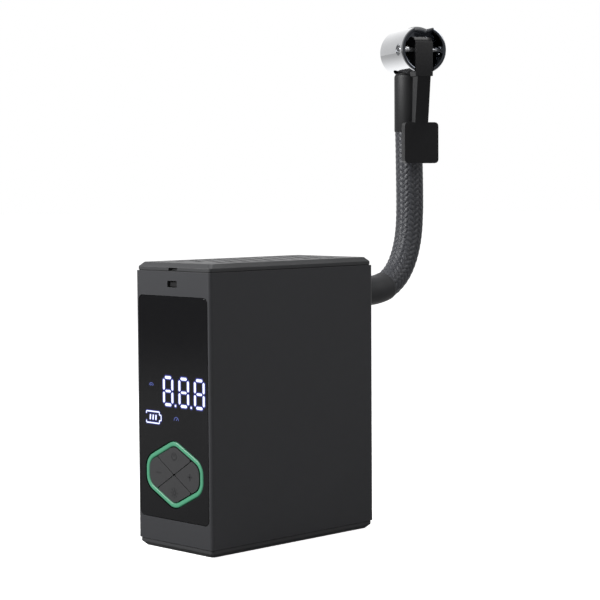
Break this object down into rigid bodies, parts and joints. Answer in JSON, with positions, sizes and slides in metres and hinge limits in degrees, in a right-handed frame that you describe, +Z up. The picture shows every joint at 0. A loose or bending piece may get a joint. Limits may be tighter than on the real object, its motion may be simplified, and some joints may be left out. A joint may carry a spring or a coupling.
{
  "type": "portable tire inflator",
  "caption": "Boxy cordless tyre inflator with a display and four-way keypad, a piston pump inside, and a short braided hose ending in a lever-lock valve chuck.",
  "frame": {"origin": "middle of the underside, which it stands on", "axes": "+Z up, the display and the keys face -Y, the hose leaves the back face at +Y, and +X is to the right of someone who looks at the display"},
  "size_m": [0.0468, 0.1595, 0.2237],
  "materials": {
    "anodised": "dark grey anodised, fine satin blast",
    "black_plastic": "moulded, fine spark texture",
    "gloss_black": "smoked, polished",
    "key_grey": "soft-touch grey",
    "green_light": "translucent, lit green",
    "rubber": "smooth moulded",
    "braid": "woven polyester braid",
    "chrome": "polished chrome plate",
    "steel": "turned or pressed, plain",
    "black_steel": "black oxide",
    "brass": "machined",
    "aluminium": "die cast, plain",
    "copper": "copper windings on laminations",
    "board_green": "circuit board, solder mask",
    "cell_wrap": "shrink wrap",
    "white_plastic": "moulded, white",
    "nylon": "natural nylon",
    "clear_tube": "translucent tubing"
  },
  "bodies": {
    "case": {"battery_cover": "black_plastic", "battery_holder": "black_plastic", "bottom_cap": "black_plastic", "case_screw_1": "steel", "case_screw_2": "steel", "case_screw_3": "steel", "case_screw_4": "steel", "case_tube": "anodised", "cell_left": "cell_wrap", "cell_right": "cell_wrap", "cell_top": "cell_wrap", "charge_board": "board_green", "charging_socket": "steel", "chuck_barrel": "chrome", "chuck_seal": "rubber", "crank_bearing": "brass", "cylinder": "aluminium", "cylinder_head": "aluminium", "display_lens": "gloss_black", "display_module": "white_plastic", "gland_nut": "black_plastic", "hose": "braid", "hose_nipple": "brass", "hose_sleeve_lower": "rubber", "hose_sleeve_upper": "rubber", "hose_tail": "brass", "key_frame": "black_plastic", "lever_pin": "steel", "light_ring": "green_light", "magnet_left": "steel", "magnet_right": "steel", "main_board": "board_green", "motor_can": "steel", "motor_endbell": "nylon", "outlet_reed": "steel", "pressure_sensor": "gloss_black", "pump_frame": "aluminium", "sensor_tube": "clear_tube", "switch_down": "steel", "switch_left": "steel", "switch_right": "steel", "switch_up": "steel", "swivel_nut": "black_steel", "top_cap": "black_plastic"},
    "crank": {"crank_gear": "nylon", "crank_shaft": "steel", "crank_pin": "steel", "crank_weight": "steel"},
    "rotor": {"rotor_core": "copper", "rotor_shaft": "steel", "pinion": "brass"},
    "connecting_rod": {"conrod": "aluminium"},
    "piston_body": {"piston": "nylon", "piston_seal": "rubber"},
    "up_key": {"key_up": "key_grey"},
    "right_key": {"key_right": "key_grey"},
    "down_key": {"key_down": "key_grey"},
    "left_key": {"key_left": "key_grey"},
    "chuck_lever": {"lever": "black_plastic"},
    "plunger": {"seal_plunger": "brass"}
  },
  "joints": [
    {"name": "crank_spin", "type": "hinge", "parent": "case", "child": "crank", "pos_m": [0, -0.00159, 0.0885], "axis": [0, 0, 1], "continuous": true},
    {"name": "rotor_spin", "type": "hinge", "parent": "case", "child": "rotor", "pos_m": [0, -0.01959, 0.0885], "axis": [0, 0, 1], "continuous": true},
    {"name": "rod_swing", "type": "hinge", "parent": "crank", "child": "connecting_rod", "pos_m": [0, 0.00161, 0.099], "axis": [0, 0, 1], "continuous": true},
    {"name": "piston_slide", "type": "slide", "parent": "case", "child": "piston_body", "axis": [0, 1, 0], "range_m": [-0.0064, 0]},
    {"name": "up_press", "type": "slide", "parent": "case", "child": "up_key", "axis": [0, 1, 0], "range_m": [0, 0.0006], "stiffness_N_per_m": 600, "springref_m": -0.0012},
    {"name": "right_press", "type": "slide", "parent": "case", "child": "right_key", "axis": [0, 1, 0], "range_m": [0, 0.0006], "stiffness_N_per_m": 600, "springref_m": -0.0012},
    {"name": "down_press", "type": "slide", "parent": "case", "child": "down_key", "axis": [0, 1, 0], "range_m": [0, 0.0006], "stiffness_N_per_m": 600, "springref_m": -0.0012},
    {"name": "left_press", "type": "slide", "parent": "case", "child": "left_key", "axis": [0, 1, 0], "range_m": [0, 0.0006], "stiffness_N_per_m": 600, "springref_m": -0.0012},
    {"name": "lever_open", "type": "hinge", "parent": "case", "child": "chuck_lever", "pos_m": [0.01319, 0.09128, 0.2128], "axis": [-0.454, -0.891, 0], "range_deg": [0, 90]},
    {"name": "plunger_slide", "type": "slide", "parent": "case", "child": "plunger", "axis": [0.891, -0.454, 0], "range_m": [0, 0.0015]}
  ],
  "couplings": [
    {"joint": "crank_spin", "follows": "rotor_spin", "ratio": -0.25},
    {"joint": "rod_swing", "follows": "rotor_spin", "ratio": 0.25},
    {"joint": "plunger_slide", "follows": "lever_open", "m_per_rad": 0.00095}
  ]
}
